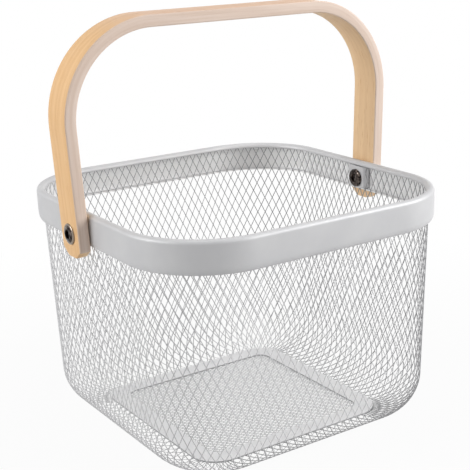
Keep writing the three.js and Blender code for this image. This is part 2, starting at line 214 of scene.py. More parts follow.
# %% Profile of the band
SHEET = 1.0 * MM
TURN_IN = 2.2 * MM
TURN_HEIGHT = 5.0 * MM
LIP_IN = 6.243 * MM
LIP_DROP = 3.7 * MM
ROLL_R = LIP_IN / 2
PRESSED_STEPS = 9
BEAD_STEPS = 25
HOLLOW_STEPS = 15
CUT_STEPS = 7


def arc(centre_d, centre_z, radius_d, radius_z, start, end, steps):
    """Points of an ellipse arc in the (offset, height) plane, from start to end in degrees."""
    a = np.radians(np.linspace(start, end, steps))
    return np.column_stack([centre_d + radius_d * np.cos(a), centre_z + radius_z * np.sin(a)])


def band_profile():
    """Closed outline of the band's sheet: the pressed-in lower edge is a quarter ellipse, the bead is a
    half circle outside and a smaller one inside, and both cut edges are half circles. The second result
    marks the inside with 1, fading to 0 on the ledge of the pressed-in edge; the marked part gets a paler
    grey of painted light."""
    roll_z = RIM_TOP - ROLL_R
    edge = SHEET / 2
    bend_z = BAND_LOW + edge + TURN_HEIGHT
    lip_z = RIM_TOP - LIP_DROP + edge
    outside = arc(-TURN_IN, bend_z, TURN_IN, TURN_HEIGHT, -90, 0, PRESSED_STEPS)
    bead = arc(-ROLL_R, roll_z, ROLL_R, ROLL_R, 0, 180, BEAD_STEPS)
    lip = arc(edge - LIP_IN, lip_z, edge, edge, 180, 360, CUT_STEPS)
    hollow = arc(-ROLL_R, roll_z, ROLL_R - SHEET, ROLL_R - SHEET, 180, 0, HOLLOW_STEPS)
    inside = arc(-TURN_IN - SHEET, bend_z, TURN_IN, TURN_HEIGHT - SHEET, 0, -90, PRESSED_STEPS)
    hem = arc(-TURN_IN - SHEET, BAND_LOW + edge + SHEET / 2, edge, edge, 90, 270, CUT_STEPS)[1:-1]
    parts = [outside, bead, lip, hollow, inside, hem]
    marks = [np.zeros(len(outside) + len(bead) + len(lip)), np.ones(len(hollow))]
    marks += [np.linspace(1, 0, len(inside)), np.ones(len(hem))]
    return np.vstack(parts), np.concatenate(marks)


profile, profile_painted_light = band_profile()
print("profile of", len(profile), "points")

# %% Rim band
CORNER_STEPS = 28
corner_steps = STRAIGHT + CORNER_ARC * np.arange(CORNER_STEPS) / CORNER_STEPS
one_side = np.concatenate([[-STRAIGHT, 0.0], corner_steps])
band_stations = (one_side[None, :] + QUARTER * np.arange(4)[:, None]).ravel()
band_x, band_y = plan(band_stations[:, None], profile[None, :, 0])
band_z = np.broadcast_to(profile[:, 1], band_x.shape)
band_points = np.stack([band_x, band_y, band_z], -1)
band_faces = [grid_faces(*band_x.shape, True, True)]
rim_band = make_piece("rim_band_sheet", band_points, band_faces, "basket", "coated_steel", "rim_band")
# Marked points get a paler grey: painted light on the band's shaded inside, fading out on the pressed-in
# ledge.
store_values(rim_band, "inside", np.broadcast_to(profile_painted_light, band_x.shape))

# %% [markdown]
# ## Expanded mesh
#
# Expanded mesh is one sheet, slit and pulled open: the strands are never woven, they are joined where they
# meet. Pulling also turns every strand on its own axis, like a slat, so the strands of the two directions
# catch the light differently. A wireframe modifier or crossing tubes would show neither. Here a flat net is
# laid out first. Its tile is half a diamond wide and half a diamond high and holds one strand that runs from
# corner to corner between two openings. Tiles alternate with their mirror image, equal points are merged,
# and a place function then bends the whole net to the wall or the floor.

# %% Strand section
def strand_section(width, thick, tilt):
    """Turned rectangle of a strand, as (reach in the sheet's plane, depth) of the outer and the inner edge
    on its right and on its left. Along the strand's width the vector is (cos, sin) of the tilt, and through
    its thickness it is (-sin, cos), so the outer face looks to the right."""
    wide = width / 2 * np.array([np.cos(tilt), np.sin(tilt)])
    deep = thick / 2 * np.array([-np.sin(tilt), np.cos(tilt)])
    right = np.array([wide - deep, wide + deep])
    left = np.array([-wide - deep, -wide + deep]) * [-1, 1]
    return right, left


print("right side of a strand of 2 by 1:", strand_section(2, 1, 0.0)[0].tolist())

# %% Strand tile
TILE_POINTS = 8


def strand_tile(section, half_width, half_height):
    """Points (u, v, depth, layer) of the tile and of the tile that is to be mirrored. The strand runs from
    (0, 0) to (1, 1). Its edges are the lines u - v = a and v - u = b, where a and b are the reach of the
    section on that side in half cells; they run out to the mean reach above and below a bond."""
    to_cells = np.hypot(half_width, half_height) / (half_width * half_height)
    right, left = section
    middle = (right + left) / 2
    tiles = []
    for side_a, side_b in ((right, left), (left, right)):
        points = []
        for layer in range(2):
            a, depth_a = side_a[layer] * [to_cells, 1]
            b, depth_b = side_b[layer] * [to_cells, 1]
            m, depth_m = middle[layer] * [to_cells, 1]
            points += [
                (0, 0, depth_m, layer),
                (1, 1, depth_m, layer),
                (a, 0, depth_a, layer),
                (0.5 + a / 2, 0.5 - a / 2, depth_a, layer),
                (1, 1 - m, depth_m, layer),
                (0, m, depth_m, layer),
                (0.5 - b / 2, 0.5 + b / 2, depth_b, layer),
                (1 - b, 1, depth_b, layer),
            ]
        tiles.append(points)
    return np.array(tiles, float)


def tile_faces():
    """Faces of the tile by the numbers of its points: 0 and 1 are the bonds of the outer layer, 2 to 4 and
    5 to 7 the edges of the strand, and 8 more is the same point of the inner layer. A side or a cut joins an
    edge of the outer layer with the same edge of the inner one."""

    def wall(first, second):
        return first, second, second + TILE_POINTS, first + TILE_POINTS

    bonds = np.array([(0, 2, 5), (4, 1, 7)])
    bands = np.array([(2, 3, 6, 5), (3, 4, 7, 6)])
    sides = [wall(3, 2), wall(4, 3), wall(5, 6), wall(6, 7)]
    cuts = {"top": wall(2, 0), "foot": wall(7, 1), "start": wall(0, 5), "end": wall(1, 4)}
    triangles = np.vstack([bonds, bonds[:, ::-1] + TILE_POINTS])
    quads = np.vstack([bands, bands[:, ::-1] + TILE_POINTS, sides])
    return triangles, quads, cuts


print("strand tile of", sum(len(faces) for faces in tile_faces()[:2]), "faces")

# %% A net of diamonds
KEY_STEPS = 4096


def mesh_net(columns, rows, closed, tile):
    """Net of columns by rows half cells as (u, v, depth, layer) points and face sets. Tile (i, j) is the
    first tile where i + j is even and the mirrored second one where it is odd. Points that fall on the same
    place and layer become one, and open sides get their cut faces."""
    triangles, quads, cuts = tile_faces()
    i, j = [n.ravel() for n in np.meshgrid(np.arange(columns), np.arange(rows), indexing="ij")]
    odd = (i + j) % 2 == 1
    local = tile[odd.astype(int)]
    u = i[:, None] + np.where(odd[:, None], 1 - local[..., 0], local[..., 0])
    v = j[:, None] + local[..., 1]
    if closed:
        u = u % columns
    keys = np.rint(np.stack([u, v], -1) * KEY_STEPS).astype(np.int64)
    if closed:
        keys[..., 0] %= columns * KEY_STEPS
    keys = np.concatenate([keys, local[..., 3:].astype(np.int64)], -1).reshape(-1, 3)
    _, chosen, number = np.unique(keys, axis=0, return_index=True, return_inverse=True)
    number = number.reshape(u.shape)

    def on_tiles(faces, tiles):
        """Numbers of the faces on the chosen tiles, turned round where the tile is mirrored."""
        found = number[tiles][:, np.asarray(faces)]
        found = np.where(odd[tiles][:, None, None], found[..., ::-1], found)
        return found.reshape(-1, found.shape[-1])

    every = np.arange(len(i))
    cut_faces = [on_tiles([cuts["top"]], every[j == 0]), on_tiles([cuts["foot"]], every[j == rows - 1])]
    if not closed:
        left = i == 0
        last = i == columns - 1
        cut_faces.append(on_tiles([cuts["start"]], every[(left & ~odd) | (last & odd)]))
        cut_faces.append(on_tiles([cuts["end"]], every[(last & ~odd) | (left & odd)]))
    net = np.concatenate([u[..., None], v[..., None], local[..., 2:]], -1).reshape(-1, 4)[chosen]
    return net, [on_tiles(triangles, every), np.vstack([on_tiles(quads, every), *cut_faces])]


small_net, _ = mesh_net(4, 3, True, strand_tile(strand_section(0.1, 0.1, 0.0), 1, 1))
print("a closed net of 4 by 3 tiles has", len(small_net), "points")

# %% [markdown]
# ## Wall mesh
#
# The sleeve hangs inside the band, leans in a little on its way down, turns round the bottom edge and ends
# in a flange under the floor frame. The columns of the net keep their place in the plan, so the diamonds
# grow narrow at the bottom corners, as they do where the real sheet is pressed round them.

# %% Wall mesh
MESH_SPACE = 0.8 * MM
STRAND = 0.6 * MM
STRAND_THICK = 0.3 * MM
STRAND_TILT = np.radians(34)
BELOW_RIM = 2.6 * MM
WALL_TAPER = 3.4 * MM
BOTTOM_R = 33 * MM
FLANGE = 8.5 * MM
DIAMONDS_AROUND = 128
WALL_ROWS = 31

WALL_TOP = RIM_TOP - BELOW_RIM
WALL_DROP = WALL_TOP - BOTTOM_R
BOTTOM_ARC = np.pi / 2 * BOTTOM_R
WALL_LENGTH = WALL_DROP + BOTTOM_ARC + FLANGE


def wall_place(net):
    """Point of the sleeve. v counts down the wall, round a quarter circle and in along the flange; u counts
    round the plan. The depth moves the point inwards, square to the sheet."""
    run = net[:, 1] / WALL_ROWS * WALL_LENGTH
    turn = np.clip((run - WALL_DROP) / BOTTOM_R, 0, np.pi / 2)
    flange = np.maximum(run - WALL_DROP - BOTTOM_ARC, 0)
    wall_z = WALL_TOP - np.minimum(run, WALL_DROP)
    lean = WALL_TAPER * np.clip((BAND_LOW - wall_z) / (BAND_LOW - BOTTOM_R), 0, 1)
    depth = MESH_SPACE / 2 + net[:, 2]
    d = -MESH_OUT - lean - BOTTOM_R * (1 - np.cos(turn)) - flange - depth * np.cos(turn)
    z = wall_z - BOTTOM_R * np.sin(turn) + depth * np.sin(turn)
    x, y = plan(net[:, 0] / (2 * DIAMONDS_AROUND) * 4 * QUARTER, d)
    return np.column_stack([x, y, z])


LAYER_COLUMN = 3
half_width = 4 * QUARTER / DIAMONDS_AROUND / 2
half_height = WALL_LENGTH / WALL_ROWS
wall_tile = strand_tile(strand_section(STRAND, STRAND_THICK, STRAND_TILT), half_width, half_height)
wall_net, wall_faces = mesh_net(2 * DIAMONDS_AROUND, WALL_ROWS, True, wall_tile)
wall_mesh = make_piece(
    "wall_expanded_mesh", wall_place(wall_net), wall_faces, "basket", "coated_steel", "wall_mesh"
)
# The inner layer of the strands gets a darker grey: painted shade on the mesh's inner side.
store_values(wall_mesh, "inside", wall_net[:, LAYER_COLUMN])
print(f"diamonds {2 * half_width / MM:.1f} by {2 * half_height / MM:.1f} mm")

# %% [markdown]
# ## Floor mesh
#
# The floor is a second panel of the same kind of sheet with much smaller openings. The same net serves,
# with its own counts, laid flat.

# %% Floor mesh
FLOOR_STRAND = 0.28 * MM
FLOOR_THICK = 0.35 * MM
FLOOR_COLUMNS = 52
FLOOR_ROWS = 92
floor_low, floor_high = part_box("floor_mesh")


def floor_place(net):
    """Point of the flat panel: u and v fill the width and depth of the floor's solid, from its underside."""
    x = floor_low.x + (floor_high.x - floor_low.x) * net[:, 0] / FLOOR_COLUMNS
    y = floor_low.y + (floor_high.y - floor_low.y) * net[:, 1] / FLOOR_ROWS
    return np.column_stack([x, y, FLOOR_THICK / 2 + net[:, 2]])


half_width = (floor_high.x - floor_low.x) / FLOOR_COLUMNS
half_height = (floor_high.y - floor_low.y) / FLOOR_ROWS
floor_tile = strand_tile(strand_section(FLOOR_STRAND, FLOOR_THICK, 0.0), half_width, half_height)
floor_net, floor_faces = mesh_net(FLOOR_COLUMNS, FLOOR_ROWS, False, floor_tile)
floor_mesh = make_piece(
    "floor_expanded_mesh", floor_place(floor_net), floor_faces, "basket", "coated_steel", "floor_mesh"
)
print(f"floor diamonds {2 * half_width / MM:.1f} by {2 * half_height / MM:.1f} mm")

# %% [markdown]
# ## Floor frame
#
# A flat frame of sheet lies on the flange of the sleeve and on the floor panel and holds both. Its outer
# corners are rounder than its inner ones, so the profile is stretched between an outer and an inner path.

# %% Floor frame
frame_low, frame_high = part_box("floor_frame")
FRAME_WIDTH = 14.3 * MM
FRAME_OUTER_CORNER = 22 * MM
FRAME_INNER_CORNER = 9 * MM
FRAME_EASE = 0.35 * MM
FRAME_STEPS = 13
FRAME_EASE_STEPS = 5


def rounded_square(half, radius, steps):
    """Closed path: quarter circles of the given radius about the four points half - radius from the axes.
    half may be one number or one for each axis."""
    quarter = np.radians(np.linspace(-90, 0, steps))[None, :] + np.pi / 2 * np.arange(4)[:, None]
    centre = np.array([[1, -1], [1, 1], [-1, 1], [-1, -1]]) * (half - radius)
    x = centre[:, :1] + radius * np.cos(quarter)
    y = centre[:, 1:] + radius * np.sin(quarter)
    return np.column_stack([x.ravel(), y.ravel()])


def frame_section():
    """Outline of the sheet as (share from inner to outer path, height), with eased upper edges."""
    ease = FRAME_EASE / FRAME_WIDTH
    outer = arc(1 - ease, frame_high.z - FRAME_EASE, ease, FRAME_EASE, 0, 90, FRAME_EASE_STEPS)
    inner = arc(ease, frame_high.z - FRAME_EASE, ease, FRAME_EASE, 90, 180, FRAME_EASE_STEPS)
    return np.vstack([[[0, frame_low.z], [1, frame_low.z]], outer, inner])


frame_outer = rounded_square(frame_high.x, FRAME_OUTER_CORNER, FRAME_STEPS)
frame_inner = rounded_square(frame_high.x - FRAME_WIDTH, FRAME_INNER_CORNER, FRAME_STEPS)
section = frame_section()
flat = frame_inner[:, None] + (frame_outer - frame_inner)[:, None] * section[None, :, :1]
height = np.broadcast_to(section[:, 1], flat.shape[:2])
frame_points = np.concatenate([flat, height[..., None]], -1)
frame_faces = [grid_faces(*height.shape, True, True)]
floor_frame = make_piece(
    "floor_frame_sheet", frame_points, frame_faces, "basket", "coated_steel", "floor_frame"
)
# The frame's side faces and underside are marked for a darker grey: painted shade along its edges.
below_top = np.clip((frame_high.z - section[:, 1]) / FRAME_EASE, 0, 1)
store_values(floor_frame, "edge_painted_shade", np.broadcast_to(below_top, height.shape))

# %% [markdown]
# ## Pivot plates
#
# Inside the wall, a small pressed plate under each screw's head spreads its pull. Its sides slope back
# towards the band, so little of a dark gap shows beside it. A bevelled cube would do for the outside, but
# rings that go from the screw's hole over the face, down the sides and back along the inside give a sheet.

# %% Pivot plates
plate_low, plate_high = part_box("pivot_plate_right")
GAP_TO_LIP = 0.15 * MM
GAP_TO_BAND = 1.2 * MM
PLATE_FOOT = 1.0 * MM
PLATE_TOP = RIM_TOP - LIP_DROP - GAP_TO_LIP
PLATE_LOW = plate_low.z + PLATE_FOOT
PLATE_BACK = RIM_HALF - SHEET - GAP_TO_BAND
PLATE_SHEET = plate_high.x - plate_low.x
PLATE_FLARE = 1.0 * MM
PLATE_SLOPE = np.array([3.0, 0.75]) * MM
PLATE_CORNER = 2.4 * MM
PLATE_EASE = 0.5 * MM
PLATE_EASE_TURN = 60
PLATE_EASE_STEPS = 6
PLATE_HOLE = 2.2 * MM
PLATE_STEPS = 9
PIVOT_Z = frame["joints"][0]["pos_m"][2]


def plate_rings():
    """Rings of the pressed sheet as (share of the slope, x): a small arc eases the front edge, the side
    runs to the back, and the same way leads up the inside again, one sheet thickness further in."""
    end = -90 - PLATE_EASE_TURN
    ease = arc(0, plate_low.x + PLATE_EASE, PLATE_EASE, PLATE_EASE, -90, end, PLATE_EASE_STEPS)
    front = [(1 + away / PLATE_SLOPE[0], x) for away, x in ease]
    inner = PLATE_SHEET / PLATE_SLOPE[0]
    return front + [(0, PLATE_BACK), (inner, PLATE_BACK), (1 + inner, plate_high.x)]


plate_half = np.array([plate_high.y + PLATE_FLARE, (PLATE_TOP - PLATE_LOW) / 2])
plate_middle = (PLATE_TOP + PLATE_LOW) / 2
plate_paths, plate_x = [], []
for share, ring_x in plate_rings():
    plate_paths.append(rounded_square(plate_half - share * PLATE_SLOPE, PLATE_CORNER, PLATE_STEPS))
    plate_x.append(ring_x)
pivot_at = np.array([0, PIVOT_Z - plate_middle])
from_pivot = plate_paths[0] - pivot_at
hole = from_pivot / np.linalg.norm(from_pivot, axis=1)[:, None] * PLATE_HOLE + pivot_at
plate_paths = np.array([hole, *plate_paths, hole])
plate_x = np.array([plate_low.x, *plate_x, plate_high.x])[:, None]
plate_x = np.broadcast_to(plate_x, plate_paths.shape[:2])
SIDES = (1, "right"), (-1, "left")
plates = []
for side, word in SIDES:
    points = np.stack([side * plate_x, side * plate_paths[..., 0], plate_middle + plate_paths[..., 1]], -1)
    quads = [grid_faces(*plate_x.shape, True, True)]
    node = f"pivot_plate_{word}"
    plates.append(make_piece(f"pressed_plate_{word}", points, quads, "basket", "coated_steel", node))

# %% [markdown]
# ## Handle
#
# The handle is one straight strip of wood, bent twice. It is worked out straight: the length along the
# strip, the place across it and the place through its thickness. One function bends these to the real
# shape, and its inverse gives the straight place of any point, which the grain needs later.

# %% Sizes of the strip
handle_low, handle_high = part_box("handle")
HANDLE_W = 27 * MM
HANDLE_T = 8.5 * MM
BEND_R = 69.1 * MM
LEG_SPLAY = 2.7 * MM
EDGE_EASE = 1.1 * MM
CLIP_W = 8 * MM
CLIP_H = 6 * MM

BEND_MID = BEND_R - HANDLE_T / 2
BEND_Z = handle_high.z - BEND_R
BEND_X = handle_high.x - BEND_R
SPLAY = np.arctan(LEG_SPLAY / (BEND_Z - PIVOT_Z))
BEND_LENGTH = BEND_MID * (np.pi / 2 + SPLAY)
LEG_X = BEND_X + BEND_MID * np.cos(SPLAY)
LEG_Z = BEND_Z - BEND_MID * np.sin(SPLAY)
STRIP_HALF = BEND_X + BEND_LENGTH + (LEG_Z - handle_low.z) / np.cos(SPLAY)
print(f"strip {2 * STRIP_HALF:.3f} m long before it is bent")


# %% Bend and straighten
def bend(along, across, through):
    """Bent place of a point of the straight strip. The middle stays straight for BEND_X each way, then
    turns on a circle of BEND_MID, and runs straight on down the leg. through is measured out from the
    middle."""
    run = np.abs(along)
    angle = np.pi / 2 - np.clip((run - BEND_X) / BEND_MID, 0, np.pi / 2 + SPLAY)
    leg = np.maximum(run - BEND_X - BEND_LENGTH, 0)
    x = np.minimum(run, BEND_X) + (BEND_MID + through) * np.cos(angle) - leg * np.sin(SPLAY)
    z = BEND_Z + (BEND_MID + through) * np.sin(angle) - leg * np.cos(SPLAY)
    return np.stack([np.sign(along) * x, across, z], -1)


def straighten(points):
    """Straight place (along, across, through) of points of the bent strip: the leg is told by its distance
    past the end of the bend, the crossbar by its x, and the bend by its angle."""
    x = np.abs(points[:, 0])
    z = points[:, 2]
    leg = (LEG_X - x) * np.sin(SPLAY) + (LEG_Z - z) * np.cos(SPLAY)
    angle = np.arctan2(z - BEND_Z, x - BEND_X)
    on_leg = (leg > 0) & (z < BEND_Z)
    on_bar = (x < BEND_X) & (z > BEND_Z)
    along = np.where(on_leg, BEND_X + BEND_LENGTH + leg, BEND_X + BEND_MID * (np.pi / 2 - angle))
    along = np.where(on_bar, x, along)
    through = np.where(
        on_leg,
        (x - LEG_X) * np.cos(SPLAY) - (z - LEG_Z) * np.sin(SPLAY),
        np.hypot(x - BEND_X, z - BEND_Z) - BEND_MID,
    )
    through = np.where(on_bar, z - BEND_Z - BEND_MID, through)
    return np.column_stack([np.sign(points[:, 0]) * along, points[:, 1], through])


leg_end = bend(STRIP_HALF, 0.0, 0.0)
there_and_back = straighten(leg_end[None])[0, 0] - STRIP_HALF
print(f"end of a leg at {np.round(leg_end, 4)}, off by {abs(there_and_back):.1e} when straightened again")

# %% [markdown]
# ## The strip's surface
#
# Across the strip the outline is a rounded rectangle. Towards each end it grows narrow over 6 mm, which
# gives the clipped corners, and the last millimetre shrinks on a quarter circle to ease the end's edge.

# %% Strip surface
EASE_STEPS = 6
BAR_STEPS = 8
BEND_STEPS = 40
LEG_STEPS = 14
END_STEPS = 5
END_SHRINK = 0.9 * EDGE_EASE


def strip_section(half_w, half_t, ease):
    """Rounded rectangle for each station: quarter circles of radius ease about the four inner corners."""
    angle = np.radians(np.linspace(0, 90, EASE_STEPS))[None, :] + np.pi / 2 * np.arange(4)[:, None]
    sign_w = np.repeat([1, -1, -1, 1], EASE_STEPS)
    sign_t = np.repeat([1, 1, -1, -1], EASE_STEPS)
    across = sign_w * (half_w - ease)[:, None] + ease * np.cos(angle.ravel())
    through = sign_t * (half_t - ease)[:, None] + ease * np.sin(angle.ravel())
    return across, through


bar = np.linspace(0, BEND_X, BAR_STEPS)[:-1]
bends = BEND_X + BEND_LENGTH * np.linspace(0, 1, BEND_STEPS)
leg_run = np.linspace(BEND_X + BEND_LENGTH, STRIP_HALF - CLIP_H, LEG_STEPS)[1:]
shrink = np.radians(np.linspace(0, 90, END_STEPS))
end_run = STRIP_HALF - EDGE_EASE * (1 - np.sin(shrink))
half_run = np.concatenate([bar, bends, leg_run, end_run])
inset = np.concatenate([np.zeros(len(half_run) - END_STEPS), END_SHRINK * (1 - np.cos(shrink))])
clip = CLIP_W * np.clip(1 - (STRIP_HALF - half_run) / CLIP_H, 0, 1)
stations = np.concatenate([-half_run[:0:-1], half_run])
half_w, half_t = HANDLE_W / 2 - clip - inset, HANDLE_T / 2 - inset
half_w, half_t = [np.concatenate([half[:0:-1], half]) for half in (half_w, half_t)]
across, through = strip_section(half_w, half_t, EDGE_EASE)
strip = bend(np.broadcast_to(stations[:, None], across.shape), across, through)
ring = np.arange(across.shape[1])
ends = np.stack([ring, ring[::-1] + (len(stations) - 1) * len(ring)])
strip_faces = [grid_faces(*across.shape, False, True), ends]
handle = make_piece("handle_bent_strip", strip, strip_faces, "bail", "handle_wood", "handle")

# %% [markdown]
# ## Turned pivots
#
# A cap nut holds each leg from outside and a screw holds it from inside. Both are turned pieces with a
# six-sided socket. A screw modifier could turn them, but not their sockets. So a ring of points goes round
# the axis at each step of the profile, and the rings of the socket take the distance of a hexagon's side
# in place of a radius.

# %% Turned pieces
ROUND_STEPS = 72


def turned(rings, side):
    """Rings about the pivot axis, closed by a fan of triangles at both ends. Each ring is (x, radius,
    six-sided or not). A six-sided ring has the radius r / cos(angle to the nearest flat). side is 1 for the
    right pivot; -1 turns it half round."""
    x, radius, six = np.array(rings, float).T
    angle = np.arange(ROUND_STEPS) / ROUND_STEPS * 2 * np.pi
    to_flat = (angle + np.pi / 6) % (np.pi / 3) - np.pi / 6
    spread = radius[:, None] / np.where(six[:, None] > 0, np.cos(to_flat)[None, :], 1)
    grid_x = np.broadcast_to(x[:, None], spread.shape)
    round_y, round_z = side * spread * np.sin(angle), PIVOT_Z + spread * np.cos(angle)
    middles = [(side * x[0], 0, PIVOT_Z), (side * x[-1], 0, PIVOT_Z)]
    points = np.vstack([np.stack([side * grid_x, round_y, round_z], -1).reshape(-1, 3), middles])
    here = np.arange(ROUND_STEPS)
    after = (here + 1) % ROUND_STEPS
    last = (len(x) - 1) * ROUND_STEPS
    start_fan = np.column_stack([np.full(ROUND_STEPS, len(points) - 2), here, after])
    end_fan = np.column_stack([np.full(ROUND_STEPS, len(points) - 1), after + last, here + last])
    return points, [grid_faces(len(x), ROUND_STEPS, False, True), np.vstack([start_fan, end_fan])]


def dome(x_edge, x_top, r_edge, r_top, steps):
    """Rings of a quarter ellipse from the flat top of a head to its outer edge."""
    a = np.radians(np.linspace(0, 90, steps))
    x = x_edge + (x_top - x_edge) * np.cos(a)
    r = r_top + (r_edge - r_top) * np.sin(a)
    return [(xx, rr, 0) for xx, rr in zip(x, r)]


print("rings of", ROUND_STEPS, "points")

# %% Six-sided socket
SOCKET_FLAT = 3.25 * MM
SOCKET_DEPTH = 1.4 * MM
SOCKET_LEAD = 0.25 * MM


def socket_rings(x_top, inwards):
    """Rings from the socket's floor to its eased mouth. inwards is the sign of x from mouth to floor."""
    floor_x, lead_x = x_top + inwards * SOCKET_DEPTH, x_top + inwards * SOCKET_LEAD
    return [(floor_x, SOCKET_FLAT, 1), (lead_x, SOCKET_FLAT, 1), (x_top, SOCKET_FLAT + SOCKET_LEAD, 1)]


print(f"socket {2 * SOCKET_FLAT / MM:.1f} mm across its flats")

# %% Profile of the cap nut
nut_low, nut_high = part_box("pivot_nut_right")
HEAD_R = nut_high.y
HEAD_T = 1.8 * MM
BARREL_R = 3.3 * MM
BORE_R = 2.3 * MM
BLIND_DEPTH = 2.8 * MM
COLLAR_R = 5.8 * MM
CROWN_FLAT_R = 0.62 * COLLAR_R
COLLAR_T = 0.95 * MM
COLLAR_EDGE = 0.2 * MM
GROOVE_W = 0.35 * MM
GROOVE_DEPTH = 0.25 * MM
CROWN_STEPS = 9
COLLAR_STEPS = 7

nut_seat = nut_high.x - HEAD_T
collar_x = nut_seat + COLLAR_T
nut_rings = socket_rings(nut_high.x, -1)
nut_rings += dome(collar_x - GROOVE_DEPTH, nut_high.x, COLLAR_R, CROWN_FLAT_R, CROWN_STEPS)
nut_rings += dome(nut_seat + COLLAR_EDGE, collar_x, HEAD_R, COLLAR_R + GROOVE_W, COLLAR_STEPS)
nut_rings += [(nut_seat, HEAD_R, 0), (nut_seat, BARREL_R, 0), (nut_low.x, BARREL_R, 0)]
nut_rings += [(nut_low.x, BORE_R, 0), (nut_high.x - BLIND_DEPTH, BORE_R, 0)]
print("cap nut of", len(nut_rings), "rings")

# %% Profile of the screw
screw_low, screw_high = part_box("pivot_screw_right")
SCREW_HEAD_R = screw_high.y
SCREW_HEAD_T = 2.0 * MM
SCREW_EDGE_X = 0.7 * SCREW_HEAD_T
SCREW_FLAT_R = 0.55 * SCREW_HEAD_R
SCREW_STEPS = 10
SHANK_R = 2.0 * MM
TIP_EASE = 0.6 * MM

screw_seat = screw_low.x + SCREW_HEAD_T
screw_rings = socket_rings(screw_low.x, 1)
screw_rings += dome(screw_low.x + SCREW_EDGE_X, screw_low.x, SCREW_HEAD_R, SCREW_FLAT_R, SCREW_STEPS)
screw_rings += [(screw_seat, SCREW_HEAD_R, 0), (screw_seat, SHANK_R, 0)]
screw_rings += [(screw_high.x - TIP_EASE, SHANK_R, 0), (screw_high.x, SHANK_R - TIP_EASE, 0)]
print("screw of", len(screw_rings), "rings")

# %% Cap nuts and screws
ON_COLLAR = COLLAR_R + 0.1 * MM
hardware = []
for side, word in SIDES:
    for name, rings in (("nut", nut_rings), ("screw", screw_rings)):
        points, faces = turned(rings, side)
        node = f"pivot_{name}_{word}"
        piece = make_piece(f"turned_{name}_{word}", points, faces, "basket", "plated_steel", node)
        radius = np.hypot(points[:, 1], points[:, 2] - PIVOT_Z)
        store_values(piece, "collar", (radius > ON_COLLAR) & (name == "nut"))
        hardware.append(piece)

# %% [markdown]
# ## Drilled holes
#
# The barrel of each nut runs in a hole in the strip. A boolean with a long round bar through both legs
# drills them in one go. The bar is deleted afterwards, and the straight place of every point is stored on
# the mesh for the grain.

# %% Drill the strip
HOLE_R = 3.6 * MM
DRILL_HALF = 0.2
bar_points, bar_faces = turned([(-DRILL_HALF, HOLE_R, 0), (DRILL_HALF, HOLE_R, 0)], 1)
drill = make_piece("drill_bar", bar_points, bar_faces, "bail", "handle_wood")
cut = handle.modifiers.new("drill", "BOOLEAN")
cut.operation = "DIFFERENCE"
cut.solver = "EXACT"
cut.object = drill
shaped = handle.evaluated_get(bpy.context.evaluated_depsgraph_get())
drilled = bpy.data.meshes.new_from_object(shaped)
handle.modifiers.clear()
handle.data = drilled
bpy.data.objects.remove(drill)
print("drilled strip of", len(drilled.polygons), "faces")

# %% Straight place of every point
place = np.zeros(len(drilled.vertices) * 3, np.float32)
drilled.vertices.foreach_get("co", place)
straight = straighten(place.reshape(-1, 3).astype(float))
grain = drilled.attributes.new("straight_strip", "FLOAT_VECTOR", "POINT")
grain.data.foreach_set("vector", straight.astype(np.float32).ravel())
print("straight strip:", np.round(straight.min(0), 4), "to", np.round(straight.max(0), 4))

# %% [markdown]
# ## Materials
#
# One effect comes back in every finish, so it is a shader node group: a mottling, which each coated, plated
# or lacquered surface has at its own scale. The group only hands out values; the shader itself stays in
# each material.

# %% Fine mottling
def set_inputs(node, **inputs):
    """Values on the input sockets of a node, with _ for a space in the socket's name."""
    for name, value in inputs.items():
        node.inputs[name.replace("_", " ")].default_value = value
    return node


def add_node(tree, kind, **inputs):
    """New node of a tree with the given values on its input sockets."""
    return set_inputs(tree.nodes.new(kind), **inputs)


def link(source, target):
    """Links an output socket to an input socket of the same tree, which every socket knows."""
    source.id_data.links.new(source, target)


FLOAT, VECTOR = "NodeSocketFloat", "NodeSocketVector"
mottling = bpy.data.node_groups.new("fine_mottling", "ShaderNodeTree")
for name, kind in (("Vector", VECTOR), ("Scale", FLOAT), ("Low", FLOAT), ("High", FLOAT)):
    mottling.interface.new_socket(name, in_out="INPUT", socket_type=kind)
for name in ("Value", "Height"):
    mottling.interface.new_socket(name, in_out="OUTPUT", socket_type=FLOAT)
given = mottling.nodes.new("NodeGroupInput").outputs
handed_out = mottling.nodes.new("NodeGroupOutput").inputs
cloud = add_node(mottling, "ShaderNodeTexNoise", Detail=3.0, Roughness=0.55)
spread = add_node(mottling, "ShaderNodeMapRange", From_Min=0.3, From_Max=0.7)
for source, target in (
    (given["Vector"], cloud.inputs["Vector"]),
    (given["Scale"], cloud.inputs["Scale"]),
    (cloud.outputs["Fac"], spread.inputs["Value"]),
    (given["Low"], spread.inputs["To Min"]),
    (given["High"], spread.inputs["To Max"]),
    (spread.outputs["Result"], handed_out["Value"]),
    (cloud.outputs["Fac"], handed_out["Height"]),
):
    link(source, target)


def add_mottling(where, scale, low=0.0, high=1.0):
    """Mottling at a place socket: Value is spread from low to high, and Height is the plain noise."""
    group = add_node(where.id_data, "ShaderNodeGroup")
    group.node_tree = mottling
    link(where, group.inputs["Vector"])
    return set_inputs(group, Scale=scale, Low=low, High=high)


print("group:", mottling.name)

# %% [markdown]
# ## Satin coating
#
# The steel is coated in a silver grey with a soft gloss. Such a coating is never quite even: it has a fine
# orange peel, and its tone and gloss vary a little over centimetres. Flat grey would look like plastic. The
# strands of the mesh are too thin to show the peel.

# %% Colour helpers
def srgb(red, green, blue):
    """Linear colour of a screen colour: ((c + 0.055) / 1.055) ** 2.4 for each channel c, or c / 12.92 where
    the channel is very dark."""
    c = np.array([red, green, blue]) / 255
    return (*np.where(c > 0.04045, ((c + 0.055) / 1.055) ** 2.4, c / 12.92), 1.0)


def read_values(tree, name):
    """Node that reads what is stored on the mesh under a name."""
    node = add_node(tree, "ShaderNodeAttribute")
    node.attribute_name = name
    return node


